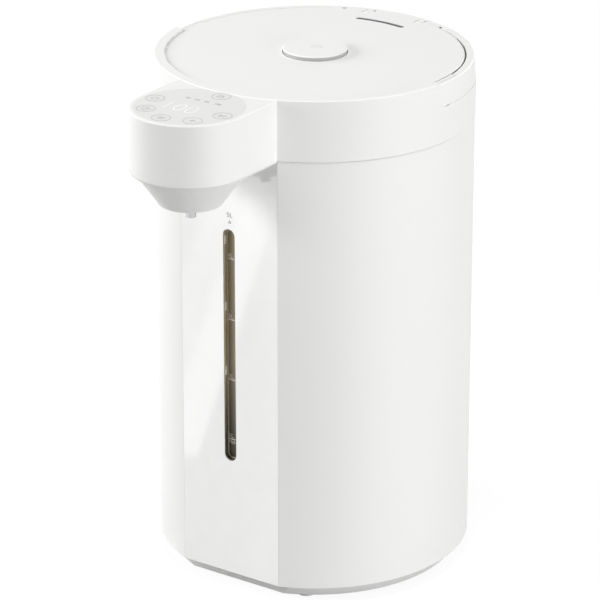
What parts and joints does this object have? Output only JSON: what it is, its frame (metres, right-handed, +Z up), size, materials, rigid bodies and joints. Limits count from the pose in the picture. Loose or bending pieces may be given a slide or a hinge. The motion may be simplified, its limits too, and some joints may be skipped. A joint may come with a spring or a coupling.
{
  "type": "hot water dispenser",
  "caption": "Upright electric hot water dispenser with a lift-up lid, a touch panel on its spout nose, a level window and a carry handle.",
  "frame": {"origin": "on the table under the pot's axis, in the plane of the feet", "axes": "+Z up along the pot's axis, -Y towards the spout, +X to the right seen from the front"},
  "size_m": [0.2146, 0.287, 0.3595],
  "materials": {
    "white_abs": "fine satin moulding",
    "white_gloss": "polished moulding",
    "smoked_lens": "smoked clear plastic",
    "grey_abs": "satin moulding",
    "foot_rubber": "moulded",
    "zinc_steel": "zinc plated",
    "touch_sheet": "satin film",
    "board_laminate": "solder mask",
    "clear_tube": "clear plastic",
    "silicone": "translucent",
    "pot_steel": "brushed",
    "felt": "needled felt",
    "dark_nylon": "moulded",
    "cast_aluminium": "cast",
    "motor_can": "plated can",
    "pin_brass": "plated"
  },
  "bodies": {
    "housing": {"outer_shell": "white_abs", "front_panel": "white_gloss", "window_lens": "smoked_lens", "base_cover": "grey_abs", "rubber_feet": "foot_rubber", "base_screws": "zinc_steel", "upper_housing": "white_abs", "collar_screws": "zinc_steel", "spout_cover": "white_abs", "touch_panel": "touch_sheet", "display_board": "board_laminate", "level_tube": "clear_tube", "spout_pipe": "silicone", "spout_nozzle": "pot_steel", "inner_pot": "pot_steel", "pot_seal": "silicone", "insulation_wrap": "felt", "pot_stand": "dark_nylon", "heater_plate": "cast_aluminium", "heating_element": "zinc_steel", "thermostat": "dark_nylon", "temperature_probe": "pin_brass", "pump_housing": "dark_nylon", "pump_motor": "motor_can", "inlet_hose": "silicone", "riser_elbow": "silicone", "hose_clips": "zinc_steel", "power_board": "board_laminate", "board_parts": "dark_nylon", "mains_inlet": "dark_nylon", "inlet_pins": "pin_brass", "hinge_pins": "zinc_steel", "handle_pins": "zinc_steel"},
    "lid": {"lid_cover": "white_abs", "lid_base": "white_abs", "lid_liner": "pot_steel", "lid_gasket": "silicone", "vent_trap": "dark_nylon", "lid_screws": "zinc_steel", "button_spring": "zinc_steel", "latch_spring": "zinc_steel"},
    "button": {"lid_button": "white_abs"},
    "latch": {"latch_bolt": "dark_nylon"},
    "handle": {"carry_handle": "white_abs"},
    "impeller": {"pump_impeller": "dark_nylon"}
  },
  "joints": [
    {"name": "lid_hinge", "type": "hinge", "parent": "housing", "child": "lid", "pos_m": [0, 0.093, 0.355], "axis": [-1, 0, 0], "range_deg": [0, 85]},
    {"name": "button_press", "type": "slide", "parent": "lid", "child": "button", "axis": [0, 0, -1], "range_m": [0, 0.003], "stiffness_N_per_m": 600, "springref_m": -0.003, "deforming": ["button_spring"]},
    {"name": "latch_slide", "type": "slide", "parent": "lid", "child": "latch", "axis": [0, 1, 0], "range_m": [0, 0.003], "deforming": ["latch_spring"]},
    {"name": "handle_hinge", "type": "hinge", "parent": "housing", "child": "handle", "pos_m": [0, -0.003, 0.3535], "axis": [1, 0, 0], "range_deg": [0, 90]},
    {"name": "impeller_spin", "type": "hinge", "parent": "housing", "child": "impeller", "pos_m": [0, -0.0575, 0.03], "axis": [0, 0, 1], "continuous": true}
  ],
  "couplings": [
    {"joint": "latch_slide", "follows": "button_press", "ratio": 1}
  ]
}
